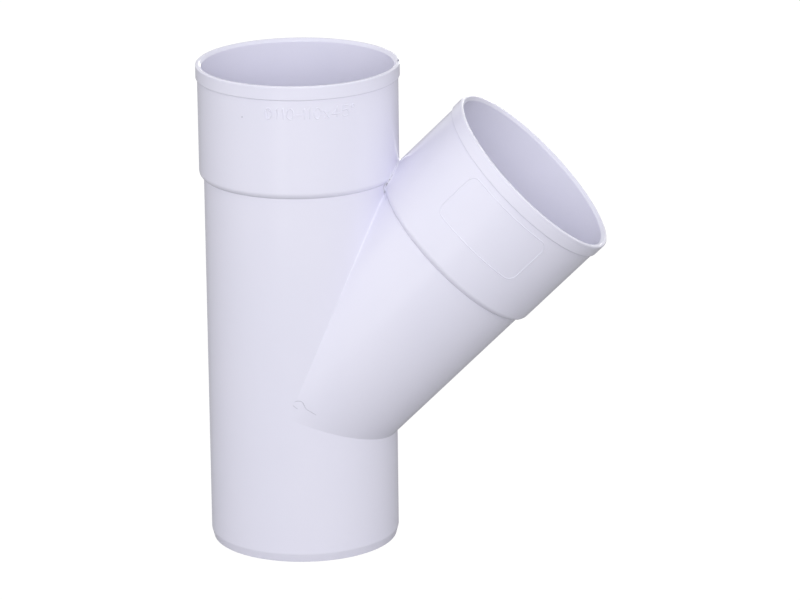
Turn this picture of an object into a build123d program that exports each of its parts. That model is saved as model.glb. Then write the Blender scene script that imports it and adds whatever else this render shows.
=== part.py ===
"""Lateral wye fitting: a one-piece moulded PVC drain branch, male by female by female.

A straight run stands on its spigot, +Z up, with a solvent socket at the top. A branch of the same
pipe size leaves the run towards +X at 45 degrees to its upward axis and ends in a like socket. The
origin is on the run's axis, at the spigot's end face. All sizes are in millimetres.
"""

import os
from math import radians, tan

from build123d import *

# The pipe that the fitting joins.
PIPE_OD = 110.0
SOCKET_CLEARANCE = 0.2  # radial, for the solvent cement

# Walls.
TUBE_WALL = 3.2
SOCKET_WALL = 2.5

# The run, from the spigot's end face upwards.
RUN_LENGTH = 285.0
JUNCTION_HEIGHT = 87.5  # where the branch's axis meets the run's axis
LEAD_LENGTH = 5.0
LEAD_ANGLE = 15.0

# The branch, measured along its own axis from the junction.
BRANCH_ANGLE = 45.0
BRANCH_LENGTH = 192.8

# The sockets, measured back from their mouths.
SOCKET_DEPTH = 56.0
SHOULDER_DEPTH = 62.0  # where the socket's outside starts to turn in to the tube
SHOULDER_LENGTH = 4.2
RIM_HEIGHT = 8.0
RIM_PROUD = 0.9
RIM_BREAK = 0.5  # the rim band's corners are broken by this much
MOUTH_CHAMFER = 1.6

TUBE_R = PIPE_OD / 2
BORE_R = TUBE_R - TUBE_WALL
SOCKET_BORE_R = TUBE_R + SOCKET_CLEARANCE
SOCKET_R = SOCKET_BORE_R + SOCKET_WALL
RIM_R = SOCKET_R + RIM_PROUD
LEAD_R = TUBE_R - LEAD_LENGTH * tan(radians(LEAD_ANGLE))


def outer_profile(mouth, foot):
    """Half section of a leg's outside, from its foot to its mouth, closed on the axis.

    foot is the list of (radius, height) points below the tube. The shoulder's arc leaves the
    socket's wall along it and lands on the tube.
    """
    start = (SOCKET_R, mouth - SHOULDER_DEPTH)
    end = (TUBE_R, mouth - SHOULDER_DEPTH - SHOULDER_LENGTH)
    with BuildSketch(Plane.XZ) as section:
        with BuildLine():
            Polyline((0, foot[0][1]), *foot, end)
            TangentArc(start, end, tangent=(0, -1))
            Polyline(
                start,
                (SOCKET_R, mouth - RIM_HEIGHT),
                (RIM_R - RIM_BREAK, mouth - RIM_HEIGHT),
                (RIM_R, mouth - RIM_HEIGHT + RIM_BREAK),
                (RIM_R, mouth - RIM_BREAK),
                (RIM_R - RIM_BREAK, mouth),
                (0, mouth),
                (0, foot[0][1]),
            )
        make_face()
    return section.sketch


def bore_profile(mouth, foot_height):
    """Half section of a leg's hollow: tube bore, stop ledge, socket and chamfered mouth."""
    stop = mouth - SOCKET_DEPTH
    past = 1.0
    with BuildSketch(Plane.XZ) as section:
        with BuildLine():
            Polyline(
                (0, foot_height),
                (BORE_R, foot_height),
                (BORE_R, stop),
                (SOCKET_BORE_R, stop),
                (SOCKET_BORE_R, mouth - MOUTH_CHAMFER),
                (SOCKET_BORE_R + MOUTH_CHAMFER, mouth),
                (SOCKET_BORE_R + MOUTH_CHAMFER, mouth + past),
                (0, mouth + past),
                close=True,
            )
        make_face()
    return section.sketch


def turned(profile, place):
    """A profile turned about its own axis and set in place."""
    return place * revolve(profile, axis=Axis.Z)


run_place = Location((0, 0, 0))
branch_place = Location((0, 0, JUNCTION_HEIGHT), (0, BRANCH_ANGLE, 0))

run_foot = [(LEAD_R, 0), (TUBE_R, LEAD_LENGTH)]
branch_foot = [(TUBE_R, 0)]

outside_run = turned(outer_profile(RUN_LENGTH, run_foot), run_place)
outside_branch = turned(outer_profile(BRANCH_LENGTH, branch_foot), branch_place)
hollow_run = turned(bore_profile(RUN_LENGTH, -1.0), run_place)
hollow_branch = turned(bore_profile(BRANCH_LENGTH, 0), branch_place)

wye_fitting = outside_run + outside_branch - hollow_run - hollow_branch
wye_fitting.label = "wye_fitting"

os.makedirs("parts", exist_ok=True)
export_step(wye_fitting, "parts/wye_fitting.step")
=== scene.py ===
"""Looks of the lateral wye fitting: a one-piece, faintly lavender white PVC drain branch."""

from math import cos, pi, radians, sin, sqrt, tan

import bmesh
import bpy
import numpy as np
from mathutils import Matrix, Vector


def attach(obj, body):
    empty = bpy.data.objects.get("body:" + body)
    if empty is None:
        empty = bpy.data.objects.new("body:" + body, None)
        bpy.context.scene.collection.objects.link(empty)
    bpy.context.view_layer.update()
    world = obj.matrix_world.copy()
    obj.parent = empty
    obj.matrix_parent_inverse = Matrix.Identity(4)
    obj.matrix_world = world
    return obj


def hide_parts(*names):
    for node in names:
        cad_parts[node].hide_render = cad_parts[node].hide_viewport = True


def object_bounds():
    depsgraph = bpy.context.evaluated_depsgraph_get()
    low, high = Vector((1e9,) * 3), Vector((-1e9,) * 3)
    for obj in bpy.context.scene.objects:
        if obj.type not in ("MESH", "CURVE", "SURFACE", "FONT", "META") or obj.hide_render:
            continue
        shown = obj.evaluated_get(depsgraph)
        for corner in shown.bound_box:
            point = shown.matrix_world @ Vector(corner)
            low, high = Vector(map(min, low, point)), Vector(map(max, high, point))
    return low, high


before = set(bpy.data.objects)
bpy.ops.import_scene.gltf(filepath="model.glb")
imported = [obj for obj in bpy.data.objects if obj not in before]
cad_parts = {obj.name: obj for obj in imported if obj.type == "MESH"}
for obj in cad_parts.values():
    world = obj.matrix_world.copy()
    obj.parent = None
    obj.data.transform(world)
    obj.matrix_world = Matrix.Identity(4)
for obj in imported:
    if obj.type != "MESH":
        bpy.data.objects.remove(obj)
cad_low, cad_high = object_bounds()


# ---- Rigid PVC -------------------------------------------------------------------------------
# Injection-moulded drain PVC: white with a cold lavender cast, satin from the polished mould, with
# a soft orange-peel skin and faint flow clouding. It is new, without rubs or scratches.
class Value:
    """A socket that takes part in plain expressions."""

    def __init__(self, tree, socket):
        self.tree = tree
        self.socket = socket

    def math(self, operation, *operands):
        """A Math node on these operands, or on this value alone where there are none."""
        return node(self.tree, "ShaderNodeMath", {"operation": operation}, *(operands or [self]))

    def __add__(self, other):
        return self.math("ADD", self, other)

    def __radd__(self, other):
        return self.math("ADD", other, self)

    def __mul__(self, other):
        return self.math("MULTIPLY", self, other)

    def __rmul__(self, other):
        return self.math("MULTIPLY", other, self)

    def __truediv__(self, other):
        return self.math("DIVIDE", self, other)

    def __rtruediv__(self, other):
        return self.math("DIVIDE", other, self)


def node(tree, kind, settings=None, *inputs, out=0, **named):
    """Adds a node, sets its settings and inputs, and gives back one of its outputs."""
    made = tree.nodes.new(kind)
    for key, setting in (settings or {}).items():
        setattr(made, key, setting)
    slots = list(enumerate(inputs)) + [(key.replace("_", " "), v) for key, v in named.items()]
    for key, given in slots:
        if isinstance(given, Value):
            tree.links.new(given.socket, made.inputs[key])
        else:
            made.inputs[key].default_value = given
    return Value(tree, made.outputs[out])


def feed(target, name, value):
    """Links a value to one of the input sockets of a shader or of a tree's last node."""
    value.tree.links.new(value.socket, target.inputs[name])


def principled(name, **constants):
    """A new material and the tree and shader in it, with the shader's constant sockets set."""
    material = bpy.data.materials.new(name)
    material.use_nodes = True
    shader = material.node_tree.nodes["Principled BSDF"]
    for key, constant in constants.items():
        shader.inputs[key.replace("_", " ")].default_value = constant
    return material, material.node_tree, shader


def noise(tree, place, scale, detail, stretch=None):
    """Noise from 0 to 1 at a scale in cells a metre, drawn out along an axis where stretch says."""
    if stretch:
        place = node(tree, "ShaderNodeMapping", None, Vector=place, Scale=stretch)
    return node(tree, "ShaderNodeTexNoise", None, Vector=place, Scale=scale, Detail=detail)


def between(tree, value, low, high, first, second):
    """A colour taken smoothly from first to second as the value goes from low to high."""
    smooth = {"interpolation_type": "SMOOTHSTEP"}
    share = node(tree, "ShaderNodeMapRange", smooth, value, low, high)
    colour = node(tree, "ShaderNodeMix", {"data_type": "RGBA"}, out=2, Factor=share)
    # The colours are inputs 6 and 7, because a Mix node also has number and vector inputs.
    colour.socket.node.inputs[6].default_value = (*first, 1.0)
    colour.socket.node.inputs[7].default_value = (*second, 1.0)
    return colour


pvc, tree, shader = principled("rigid PVC", IOR=1.53, Specular_IOR_Level=0.5)
place = node(tree, "ShaderNodeTexCoord", out="Object")
cloud = noise(tree, place, 9.0, 3.0)
flow = noise(tree, place, 26.0, 2.0, stretch=(1.0, 1.0, 0.22))
tone = 0.65 * cloud + 0.35 * flow
colour = between(tree, tone, 0.3, 0.7, (0.800, 0.795, 0.925), (0.825, 0.815, 0.940))
feed(shader, "Base Color", colour)
feed(shader, "Roughness", 0.22 + 0.05 * flow)
peel = noise(tree, place, 520.0, 2.0)
grain = noise(tree, place, 2600.0, 1.0)
relief = 0.8 * peel + 0.2 * grain
bump = node(tree, "ShaderNodeBump", Strength=0.18, Distance=0.00012, Height=relief)
feed(shader, "Normal", bump)


# ---- Moulded body ----------------------------------------------------------------------------
# One shell: the run, the branch at 45 degrees and their two sockets, 3.2 mm thick in the tubes. The
# mould leaves small rounds on every corner and a small blend along the crease between the tubes,
# which fades away at the sides, where the two tubes run into each other.
MM = 0.001
TUBE_R, BORE_R = 55.0, 51.8
SOCKET_R, SOCKET_BORE_R, RIM_R = 57.7, 55.2, 58.6
RUN_LENGTH, BRANCH_LENGTH, JUNCTION = 285.0, 192.8, 87.5
# Depths below a mouth of the shoulder's foot and top, the pipe stop, the rim's band and the lead-in.
SHOULDER_FOOT, SHOULDER_TOP, PIPE_STOP, BAND, LEAD_IN = 66.2, 64.97, 56.0, 8.0, 1.6
# The flat of a mouth: its inner edge, its middle and the chamfer at its outer edge.
LEAD_R, LAND_R, RIM_CHAMFER = 56.8, 57.5, 0.5
# The spigot's end: the middle of its flat, the flat's outer edge and the height of its taper.
END_R, END_EDGE_R, TAPER = 52.7, 53.66, 5.0
# The branch's line begins a little below the junction, and its columns of points even out over
# the length SETTLE above the crease.
BRANCH_FOOT, SETTLE = -2.0, 60.0
BLEND = 0.8
COLUMNS = 256
# Distances from the crease of the rows of points beside it.
NEAR = np.array([0.0, 0.25, 0.5, 0.75, 1.0, 1.35, 1.8, 2.5, 4.0, 7.0])


def rounded(corners, steps=6):
    """A section's line through (radius, height, rounding) corners, as rows of r, z, nr, nz, along.

    The normal is on the right of the line's direction, and along is the distance from its start.
    """
    points = [np.array(corner[:2], float) for corner in corners]
    rows = []
    for i, corner in enumerate(corners):
        if i in (0, len(points) - 1):
            way = points[1] - points[0] if i == 0 else points[i] - points[i - 1]
            way /= np.linalg.norm(way)
            rows.append((*points[i], way[1], -way[0]))
            continue
        before, after = points[i] - points[i - 1], points[i + 1] - points[i]
        before, after = before / np.linalg.norm(before), after / np.linalg.norm(after)
        turn = np.arctan2(before[0] * after[1] - before[1] * after[0], before @ after)
        start = points[i] - before * corner[2] * tan(abs(turn) / 2)
        centre = start + np.array([-before[1], before[0]]) * np.sign(turn) * corner[2]
        for a in np.linspace(0, turn, steps + 1):
            spin = np.array([[cos(a), -sin(a)], [sin(a), cos(a)]])
            point, way = centre + spin @ (start - centre), spin @ before
            rows.append((*point, way[1], -way[0]))
    rows = np.array(rows)
    along = np.r_[0, np.cumsum(np.hypot(*np.diff(rows[:, :2], axis=0).T))]
    return np.c_[rows, along]


def outside(mouth, foot):
    """The outer line of a leg, from its foot to the middle of its mouth's flat."""
    return rounded(
        foot
        + [
            (TUBE_R, mouth - SHOULDER_FOOT, 0.6),
            (SOCKET_R, mouth - SHOULDER_TOP, 4.0),
            (SOCKET_R, mouth - BAND, 0.25),
            (RIM_R, mouth - BAND, 0.45),
            (RIM_R, mouth - RIM_CHAMFER, 0.4),
            (RIM_R - RIM_CHAMFER, mouth, 0.4),
            (LAND_R, mouth, 0),
        ]
    )


def inside(mouth, foot):
    """The inner line of a leg, from its foot to the middle of its mouth's flat, facing the axis."""
    line = rounded(
        foot
        + [
            (BORE_R, mouth - PIPE_STOP, 0.4),
            (SOCKET_BORE_R, mouth - PIPE_STOP, 0.4),
            (SOCKET_BORE_R, mouth - LEAD_IN, 0.9),
            (LEAD_R, mouth, 0.3),
            (LAND_R, mouth, 0),
        ]
    )
    line[:, 2:4] *= -1
    return line


def run_points(line, angle, along):
    """Points and normals of a leg in its own axes, at angles round it and distances along its line."""
    r, z, nr, nz = [np.interp(along, line[:, 4], line[:, k]) for k in range(4)]
    point = np.stack([r * np.cos(angle), r * np.sin(angle), z], -1)
    return point, np.stack([nr * np.cos(angle), nr * np.sin(angle), nz], -1)


SLANT = sqrt(0.5)
JOINT = np.array([0, 0, JUNCTION])


def to_fitting(v):
    """Turned from the branch's own axes, in which it stands along Z, to the fitting's."""
    return np.stack([SLANT * (v[..., 0] + v[..., 2]), v[..., 1], SLANT * (v[..., 2] - v[..., 0])], -1)


def to_branch(v):
    """Turned from the fitting's axes to the branch's own."""
    return np.stack([SLANT * (v[..., 0] - v[..., 2]), v[..., 1], SLANT * (v[..., 0] + v[..., 2])], -1)


def branch_points(line, angle, along):
    """Points and normals of the branch in the fitting's axes."""
    point, normal = run_points(line, angle, along)
    return to_fitting(point) + JOINT, to_fitting(normal)


def away(line, point):
    """Distance out of a leg's side, in the leg's own axes, and the side's normal there."""
    r = np.hypot(point[..., 0], point[..., 1])
    wall, nr, nz = [np.interp(point[..., 2], line[:, 1], line[:, k]) for k in (0, 2, 3)]
    out = np.sign(nr)
    nr, nz = nr * out, nz * out
    normal = np.stack([point[..., 0] / r * nr, point[..., 1] / r * nr, nz], -1)
    return (r - wall) * nr, normal


def blended(run, branch, point, radius=BLEND):
    """Distance out of the two legs as one body, with a blend that fades as they become tangent."""
    from_run, run_side = away(run, point)
    from_branch, branch_side = away(branch, to_branch(point - JOINT))
    facing = np.clip((run_side * to_fitting(branch_side)).sum(-1), -1, 1)
    reach = 4 * radius * (1 - np.sqrt((1 + facing) / 2)) + 1e-6
    share = np.clip(1 - np.abs(from_run - from_branch) / reach, 0, 1)
    return np.minimum(from_run, from_branch) - share * share * reach / 4


def slope(run, branch, point, step=0.01):
    """The gradient of the distance out of the blended body, which points outward."""
    rise = [
        blended(run, branch, point + step * axis) - blended(run, branch, point - step * axis)
        for axis in np.eye(3)
    ]
    return np.stack(rise, -1) / (2 * step)


def past_crease(line, start, first, spread=8, long=6.0, apart=0.2):
    """Rows from a crease at start to the line's end: close at first, then spread to its corners.

    First is the line's first row past the crease. A stretch over the length long is divided, and
    rows that would fall behind the crease's own stay that much apart.
    """
    stop = line[first, 4]
    middle = np.linspace(NEAR[-1], np.maximum(stop - start, NEAR[-1] + 0.1), spread + 1)[1:]
    rows = [start + d for d in NEAR] + [start + d for d in middle]
    corners = list(line[first:, 4])
    fixed = []
    for low, high in zip(corners, corners[1:]):
        parts = 4 if high - low > long else 1
        fixed += list(np.linspace(low, high, parts + 1)[1:])
    for w in fixed:
        rows.append(np.maximum(w, rows[-1] + np.where(rows[-1] + apart > w, apart, 0)))
    return np.stack([np.minimum(row, corners[-1]) for row in rows])


def to_crease(line, end, last, spread=6):
    """Rows from the line's start to a crease at end: its corners, spread, then close at the crease.

    Last is the line's last row before the crease.
    """
    rows = [np.full_like(end, w) for w in line[: last + 1, 4]]
    middle = np.linspace(line[last, 4], end - NEAR[-1], spread + 1)[1:]
    return np.stack(rows + list(middle) + [end - d for d in NEAR[-2::-1]])


def skin(shell, side, run, branch, tube, sign):
    """Adds one side of the shell to the mesh: run and branch, cut at their crease and blended.

    Tube is the radius of this side's tubes, and sign is 1 outside and -1 inside.
    """

    def sheet(points, normals, ring):
        """Quads over rows by columns of points; ring closes the columns."""
        from_run = away(run, points)[0]
        from_branch = away(branch, to_branch(points - JOINT))[0]
        # Points on the body, within reach of the blend and on the branch's side of the run's axis, go
        # down the slope onto the blended surface. A few steps are enough.
        on_body, reach = 0.05, 3 * BLEND
        near = np.abs(blended(run, branch, points, 0)) < on_body
        near &= (np.abs(from_run) < reach) & (np.abs(from_branch) < reach)
        near &= points[..., 0] > -1e-6
        moved = points[near]
        for _ in range(8):
            g = slope(run, branch, moved)
            move = blended(run, branch, moved) / np.maximum((g * g).sum(-1), 0.05)
            moved = moved - g * move[:, None]
        points, normals = points.copy(), normals.copy()
        points[near] = moved
        g = slope(run, branch, moved)
        normals[near] = sign * g / np.maximum(np.linalg.norm(g, axis=-1, keepdims=True), 1e-9)
        grid = []
        for row, sides in zip(points, normals):
            made = []
            for point, normal in zip(row, sides):
                made.append(shell.verts.new(point * MM))
                made[-1][side] = normal
            grid.append(made)
        faces = []
        for low, high in zip(grid, grid[1:]):
            for i in range(len(low) - (0 if ring else 1)):
                j = (i + 1) % len(low)
                faces.append(shell.faces.new((low[i], low[j], high[j], high[i])))
                faces[-1].normal_update()
        if sum(face.normal.dot(face.verts[0][side]) for face in faces) < 0:
            bmesh.ops.reverse_faces(shell, faces=faces)

    # Two equal tubes at 45 degrees meet in two planes, at 22.5 and 67.5 degrees to the run's own
    # cross-section, whose slopes are the root of 2 less 1 and plus 1.
    half = COLUMNS // 2
    front = np.linspace(-pi / 2, pi / 2, half + 1)
    rear = np.linspace(pi / 2, 3 * pi / 2, half + 1)
    x = tube * np.cos(front)
    seat = np.interp(JUNCTION, run[:, 1], run[:, 4])
    low = seat - x * (sqrt(2) - 1)
    high = seat + x * (sqrt(2) + 1)
    # Within about 24 degrees of the crotch, round the run, the crease leaves the tubes for the
    # shoulders and sockets. It is found there by halving, from 3 mm below the tubes' own crease to
    # 22 mm above it.
    inner, outer = high - 3, high + 22
    for _ in range(50):
        middle = (inner + outer) / 2
        point = run_points(run, front, middle)[0]
        out = away(branch, to_branch(point - JOINT))[0] > 0
        inner, outer = np.where(out, inner, middle), np.where(out, middle, outer)
    high = np.where(np.abs(np.sin(front)) < 0.4, outer, high)

    last = np.searchsorted(run[:, 1], JUNCTION) - 1
    sheet(*run_points(run, front, to_crease(run, low, last)), False)
    sheet(*run_points(run, front, past_crease(run, high, last + 1)), False)
    level = np.full_like(rear, seat)
    whole = np.r_[to_crease(run, level, last), past_crease(run, level, last + 1)[1:]]
    sheet(*run_points(run, rear, whole), False)

    crease = np.concatenate([low[:-1], high[:0:-1]])
    around = np.concatenate([front[:-1], front[:0:-1]])
    point = to_branch(run_points(run, around, crease)[0] - JOINT)
    start = np.interp(point[:, 2], branch[:, 1], branch[:, 4])
    even = np.arange(COLUMNS) * 2 * pi / COLUMNS - pi / 2
    angle = np.arctan2(point[:, 1], point[:, 0])
    angle = even + (angle - even + pi) % (2 * pi) - pi
    rows = past_crease(branch, start, 1)
    ease = np.clip((rows - start) / SETTLE, 0, 1)
    sheet(*branch_points(branch, angle + (even - angle) * ease, rows), True)


def meshed(built, name):
    """A new mesh from what was built, with smooth faces."""
    for face in built.faces:
        face.smooth = True
    mesh = bpy.data.meshes.new(name)
    built.to_mesh(mesh)
    built.free()
    return mesh


def piece(name, mesh):
    """A finished piece of the fitting, which rides on its only body."""
    mesh.name = name
    made = bpy.data.objects.new(name, mesh)
    bpy.context.collection.objects.link(made)
    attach(made, "root")
    return made


spigot_out = [(END_R, 0, 0), (END_EDGE_R, 0, 0.35), (TUBE_R, TAPER, 4.0)]
spigot_in = [(END_R, 0, 0), (BORE_R, 0, 0.35)]
run_out, run_in = outside(RUN_LENGTH, spigot_out), inside(RUN_LENGTH, spigot_in)
branch_out = outside(BRANCH_LENGTH, [(TUBE_R, BRANCH_FOOT, 0)])
branch_in = inside(BRANCH_LENGTH, [(BORE_R, BRANCH_FOOT, 0)])

shell = bmesh.new()
side = shell.verts.layers.float_vector.new("side")
skin(shell, side, run_out, branch_out, TUBE_R, 1)
skin(shell, side, run_in, branch_in, BORE_R, -1)
bmesh.ops.remove_doubles(shell, verts=shell.verts, dist=2e-6)
mesh = meshed(shell, "moulded_body")
sides = [tuple(item.vector) for item in mesh.attributes["side"].data]
mesh.attributes.remove(mesh.attributes["side"])
mesh.normals_split_custom_set_from_vertices(sides)
mesh.materials.append(pvc)
body = piece("moulded_body", mesh)
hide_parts("wye_fitting")


# ---- Size mark -------------------------------------------------------------------------------
# The pipe sizes and the branch's angle, engraved in the mould with a round cutter, so that each
# stroke stands proud of the run's socket as a thin rounded ridge.
FIGURE_LOW, FIGURE_HEIGHT = 265.9, 6.3
STROKE_R, STROKE_SUNK = 0.42, 0.06


def oval(u, v, wide, high, steps=28):
    """Points of an oval round a middle, in shares of a figure's width and height."""
    turns = np.linspace(0, 2 * pi, steps, endpoint=False)
    return [(u + wide / 2 * cos(t), v + high / 2 * sin(t)) for t in turns]


def plain(data, modify=None):
    """The mesh that a curve or a modified mesh shows."""
    holder = bpy.data.objects.new("holder", data)
    bpy.context.collection.objects.link(holder)
    if modify:
        modify(holder)
    graph = bpy.context.evaluated_depsgraph_get()
    mesh = bpy.data.meshes.new_from_object(holder.evaluated_get(graph))
    bpy.data.objects.remove(holder)
    return mesh


def swept(name, strokes, radius, material):
    """A piece of round ridges along strokes, each a list of points and whether it closes."""
    line = bpy.data.curves.new(name, "CURVE")
    line.dimensions = "3D"
    line.bevel_depth = radius * MM
    line.bevel_resolution = 2
    line.use_fill_caps = True
    for points, closes in strokes:
        spline = line.splines.new("NURBS")
        spline.points.add(len(points) - 1)
        for item, point in zip(spline.points, points):
            item.co = (*point, 1)
        spline.order_u = 3
        spline.resolution_u = 3
        spline.use_cyclic_u = closes
        spline.use_endpoint_u = not closes
    mesh = plain(line)
    mesh.materials.append(material)
    return piece(name, mesh)


# The strokes of each figure, in shares of its width and height, and whether each closes.
SHAPES = {
    "0": [(oval(0.5, 0.5, 1.0, 1.0), True)],
    "1": [([(0.0, 0.8), (0.25, 0.88), (0.5, 1.0), (0.5, 0.98), (0.5, 0.5), (0.5, 0.0)], False)],
    "-": [([(0.0, 0.4), (0.5, 0.4), (1.0, 0.4)], False)],
    "x": [
        ([(0.0, 0.7), (0.5, 0.35), (1.0, 0.0)], False),
        ([(0.0, 0.0), (0.5, 0.35), (1.0, 0.7)], False),
    ],
    "4": [
        ([(0.7, 0.0), (0.7, 0.5), (0.7, 0.98), (0.7, 1.0), (0.66, 0.96), (0.02, 0.36), (0.0, 0.33),
          (0.04, 0.33), (0.5, 0.33), (1.0, 0.33)], False)
    ],
    "5": [
        ([(0.92, 1.0), (0.6, 1.0), (0.22, 1.0), (0.2, 1.0), (0.19, 0.97), (0.1, 0.56), (0.1, 0.54),
          (0.13, 0.56), (0.4, 0.66), (0.75, 0.62), (1.0, 0.42), (0.98, 0.16), (0.7, 0.0), (0.35, 0.0),
          (0.05, 0.12)], False)
    ],
    "o": [(oval(0.5, 0.86, 1.0, 0.3, 16), True)],
}
SHAPES["diameter"] = SHAPES["0"] + [([(0.25, 0.15), (0.5, 0.5), (0.75, 0.85)], False)]
strokes = []
r = SOCKET_R - STROKE_SUNK
# Each figure with the degrees round the run of its middle, and its width in millimetres.
for figure, middle, width in (
    ("diameter", -98.0, 4.2),
    ("1", -92.8, 2.0),
    ("1", -89.6, 2.0),
    ("0", -85.5, 3.9),
    ("-", -80.4, 3.2),
    ("1", -77.4, 2.0),
    ("1", -74.4, 2.0),
    ("0", -70.1, 3.9),
    ("x", -64.8, 3.2),
    ("4", -59.4, 4.4),
    ("5", -53.4, 4.2),
    ("o", -48.6, 2.0),
):
    for points, closes in SHAPES[figure]:
        bent = []
        for u, v in points:
            a = radians(middle) + (u - 0.5) * width / SOCKET_R
            bent.append(Vector((r * cos(a), r * sin(a), FIGURE_LOW + v * FIGURE_HEIGHT)) * MM)
        strokes.append((bent, closes))
size_mark = swept("size_mark", strokes, STROKE_R, pvc)


# ---- Raised frame ----------------------------------------------------------------------------
# A fine bead in a rounded rectangle on the branch's socket, which frames a bare plate of its wall.
# The path is bent round the socket and swept with the bead's section.
sizes = {
    "Length": 61.5 * MM,
    "Height": 30.6 * MM,
    "Corner": 5.5 * MM,
    "Bead": 0.38 * MM,
    "Radius": (SOCKET_R - 0.08) * MM,
    "Middle": radians(-88.5),
    "Along": 165.2 * MM,
    "Material": pvc,
}
group = bpy.data.node_groups.new("raised frame", "GeometryNodeTree")
for name in sizes:
    kind = "NodeSocketMaterial" if name == "Material" else "NodeSocketFloat"
    group.interface.new_socket(name, in_out="INPUT", socket_type=kind)
group.interface.new_socket("Geometry", in_out="OUTPUT", socket_type="NodeSocketGeometry")
given = group.nodes.new("NodeGroupInput")
values = {name: Value(group, given.outputs[name]) for name in sizes}
box = node(
    group,
    "GeometryNodeCurvePrimitiveQuadrilateral",
    {"mode": "RECTANGLE"},
    values["Length"],
    values["Height"],
)
corners = {"Radius": values["Corner"], "Count": 10}
soft = node(group, "GeometryNodeFilletCurve", {"mode": "POLY"}, Curve=box, **corners)
even = node(group, "GeometryNodeResampleCurve", {"mode": "LENGTH"}, Curve=soft, Length=0.6 * MM)
spot = node(group, "GeometryNodeInputPosition")
x = node(group, "ShaderNodeSeparateXYZ", None, spot, out="X")
y = node(group, "ShaderNodeSeparateXYZ", None, spot, out="Y")
turn = values["Middle"] + x / values["Radius"]
bent = node(
    group,
    "ShaderNodeCombineXYZ",
    None,
    values["Radius"] * turn.math("COSINE"),
    values["Radius"] * turn.math("SINE"),
    values["Along"] + y,
)
path = node(group, "GeometryNodeSetPosition", Geometry=even, Position=bent)
section = node(group, "GeometryNodeCurvePrimitiveCircle", Resolution=8, Radius=values["Bead"])
bead = node(group, "GeometryNodeCurveToMesh", None, path, section)
whole = node(group, "GeometryNodeRealizeInstances", None, bead)
done = node(group, "GeometryNodeSetMaterial", Geometry=whole, Material=values["Material"])
feed(group.nodes.new("NodeGroupOutput"), "Geometry", done)


def framed(holder):
    """Gives the holder the frame's tree, with its sizes."""
    modifier = holder.modifiers.new("frame", "NODES")
    modifier.node_group = group
    for item in group.interface.items_tree:
        if item.name in sizes:
            modifier[item.identifier] = sizes[item.name]


mesh = plain(bpy.data.meshes.new("holder"), framed)
branch_matrix = Matrix.Translation((0, 0, JUNCTION * MM)) @ Matrix.Rotation(pi / 4, 4, "Y")
mesh.transform(branch_matrix)
mesh.polygons.foreach_set("use_smooth", [True] * len(mesh.polygons))
raised_frame = piece("raised_frame", mesh)


# ---- Specks of dirt and painted shade --------------------------------------------------------
# A curled hair of dust stuck where the creases fade at the side of the branch, a dark speck on the
# run's socket below its rim, and a thin dark sliver of painted shade on the flat of that rim.
HAIR_R = 0.11
# One dark grey serves the dust hair and the dark speck, and also the painted shade on the rim.
dust_and_shade_paint, tree, shader = principled("grey dust and painted shade", Roughness=0.8)
mottle = noise(tree, node(tree, "ShaderNodeTexCoord", out="Object"), 900.0, 2.0)
colour = between(tree, mottle, 0.3, 0.7, (0.28, 0.28, 0.36), (0.42, 0.42, 0.52))
feed(shader, "Base Color", colour)

# Degrees round the branch and millimetres along it from the junction.
hair = []
for angle, along in (
    (-90.74, 8.23),
    (-94.11, 7.37),
    (-95.42, 9.06),
    (-94.31, 11.74),
    (-91.82, 13.47),
    (-89.89, 12.64),
    (-86.88, 11.72),
    (-83.8, 12.54),
    (-80.33, 13.2),
):
    a = radians(angle)
    hair.append(branch_matrix @ (Vector((TUBE_R * cos(a), TUBE_R * sin(a), along)) * MM))
swept("dust_hair", [(hair, False)], HAIR_R, dust_and_shade_paint)

# Degrees round the run, distance out and height, then half the width, depth and height.
for name, angle, out, height, wide, deep, tall in (
    ("dark_speck", -114.3, SOCKET_R, 265.5, 0.4, 0.18, 0.32),
    # The rim's sliver is painted shade: a dark mark that stands for the shade at the rim's edge.
    ("rim_painted_shade", 8.0, LAND_R + 0.25, RUN_LENGTH, 2.6, 0.55, 0.06),
):
    a = radians(angle)
    ball = bmesh.new()
    bmesh.ops.create_icosphere(ball, subdivisions=3, radius=1.0)
    for v in ball.verts:
        bumpy = 1 + 0.2 * sin(5 * v.co.x + 2) * cos(4 * v.co.z)
        flat = Vector((v.co.x * bumpy * wide, v.co.y * bumpy * deep, v.co.z * tall))
        flat.y -= flat.x**2 / (2 * out)
        v.co = Matrix.Rotation(a - pi / 2, 3, "Z") @ flat * MM
        v.co += Vector((out * cos(a), out * sin(a), height)) * MM
    mesh = meshed(ball, name)
    mesh.materials.append(dust_and_shade_paint)
    piece(name, mesh)


# ---- Camera, light and floor -----------------------------------------------------------------
# The fitting stands on a plain white floor among large soft boxes, which the camera doesn't see. It
# is seen from a little above with a long lens, so that its tubes hardly taper.
# The lens is in millimetres, the distance and the aim in metres, and the turns in degrees.
LENS, DISTANCE, AIM = 215.874, 2.7806, Vector((0.05774, 0, 0.14401))
AZIMUTH, ELEVATION, ROLL = 7.874, 16.985, -0.652
WHITE = (1, 1, 1, 1)


def looking(azimuth, elevation, roll):
    """The right, up and back of a camera at those degrees round the object and above it."""
    a, e, t = radians(azimuth), radians(elevation), radians(roll)
    back = Vector((sin(a) * cos(e), -cos(a) * cos(e), sin(e)))
    right = Vector((cos(a), sin(a), 0))
    up = back.cross(right)
    return cos(t) * right + sin(t) * up, cos(t) * up - sin(t) * right, back


def stand(holder, axes, aim, distance):
    """Stands a camera or a light that far back from the place that it faces."""
    turn = Matrix(axes).transposed().to_4x4()
    holder.matrix_world = Matrix.Translation(aim + axes[2] * distance) @ turn
    bpy.context.collection.objects.link(holder)


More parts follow.
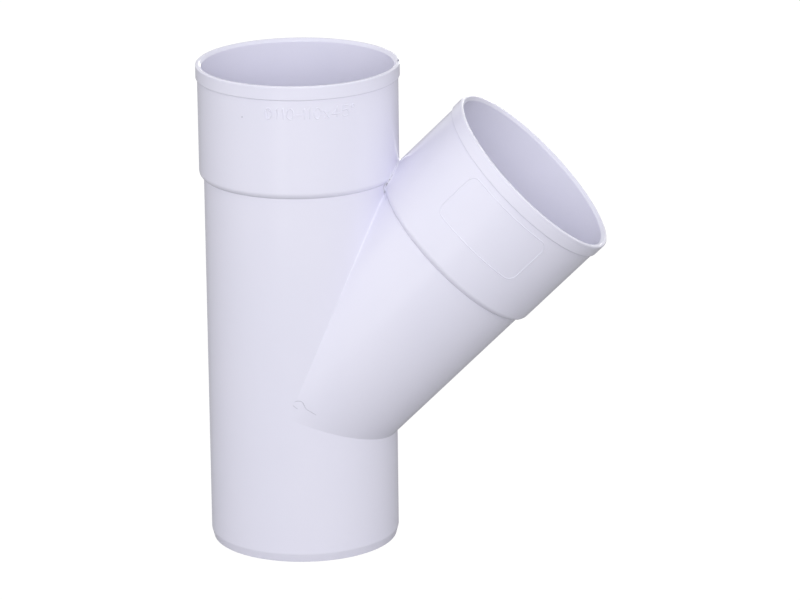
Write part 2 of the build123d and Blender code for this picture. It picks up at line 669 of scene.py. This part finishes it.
def softbox(name, azimuth, elevation, distance, width, height, power):
    """A plain area light, which faces the middle of the fitting and which the camera doesn't see."""
    lamp = bpy.data.lights.new(name, "AREA")
    lamp.shape = "RECTANGLE"
    lamp.size, lamp.size_y, lamp.energy = width, height, power
    holder = bpy.data.objects.new(name, lamp)
    holder.visible_camera = False
    stand(holder, looking(azimuth, elevation, 0), (cad_low + cad_high) / 2, distance)


camera = bpy.data.objects.new("camera", bpy.data.cameras.new("camera"))
camera.data.lens = LENS
camera.data.clip_end = 50
stand(camera, looking(AZIMUTH, ELEVATION, ROLL), AIM, DISTANCE)
bpy.context.scene.camera = camera

# Degrees round the fitting and above it, metres away, metres wide and high, and watts.
softbox("key", 0, 27, 2.2, 1.2, 1.2, 13.2)
softbox("right", 25, 24, 2.2, 1.2, 1.2, 6.8)
softbox("right_low", 25, 8, 2.2, 1.2, 1.2, 3.9)
softbox("left_low", -80, 8, 2.2, 1.2, 1.2, 7.2)
softbox("far_right_low", 80, 8, 2.2, 1.2, 1.2, 2.0)
softbox("back", 180, 3, 2.2, 1.0, 0.4, 7.0)
softbox("strip", -15, -4, 0.8, 0.1, 0.16, 0.09)

# The camera, and rays that are mirrored or pass through, see a white room. The soft light that it
# throws on the fitting is dimmer.
world = bpy.data.worlds.new("studio")
bpy.context.scene.world = world
world.use_nodes = True
tree = world.node_tree
tree.nodes.clear()
seen = node(tree, "ShaderNodeBackground", Color=WHITE, Strength=1.0)
room = node(tree, "ShaderNodeBackground", Color=WHITE, Strength=0.61)
straight = node(tree, "ShaderNodeLightPath", out="Is Camera Ray")
for kind in ("Is Glossy Ray", "Is Transmission Ray"):
    straight = straight.math("MAXIMUM", straight, node(tree, "ShaderNodeLightPath", out=kind))
both = node(tree, "ShaderNodeMixShader", None, straight, room, seen)
feed(tree.nodes.new("ShaderNodeOutputWorld"), "Surface", both)

# The floor throws back under half of its light, and glows for the camera alone, so that it stays
# white.
circle = bmesh.new()
bmesh.ops.create_circle(circle, cap_ends=True, segments=96, radius=9.0)
floor = bpy.data.objects.new("floor", meshed(circle, "floor"))
floor.location.z = cad_low.z
bpy.context.collection.objects.link(floor)
paper, tree, shader = principled("white floor", Roughness=0.9, Specular_IOR_Level=0.1)
shader.inputs["Base Color"].default_value = (0.42, 0.42, 0.42, 1)
glow = node(tree, "ShaderNodeEmission", Color=WHITE, Strength=1.2)
share = 0.8 * node(tree, "ShaderNodeLightPath", out="Is Camera Ray")
both = node(tree, "ShaderNodeMixShader", None, share, Value(tree, shader.outputs["BSDF"]), glow)
feed(tree.nodes["Material Output"], "Surface", both)
floor.data.materials.append(paper)

bpy.context.scene.view_settings.view_transform = "Standard"
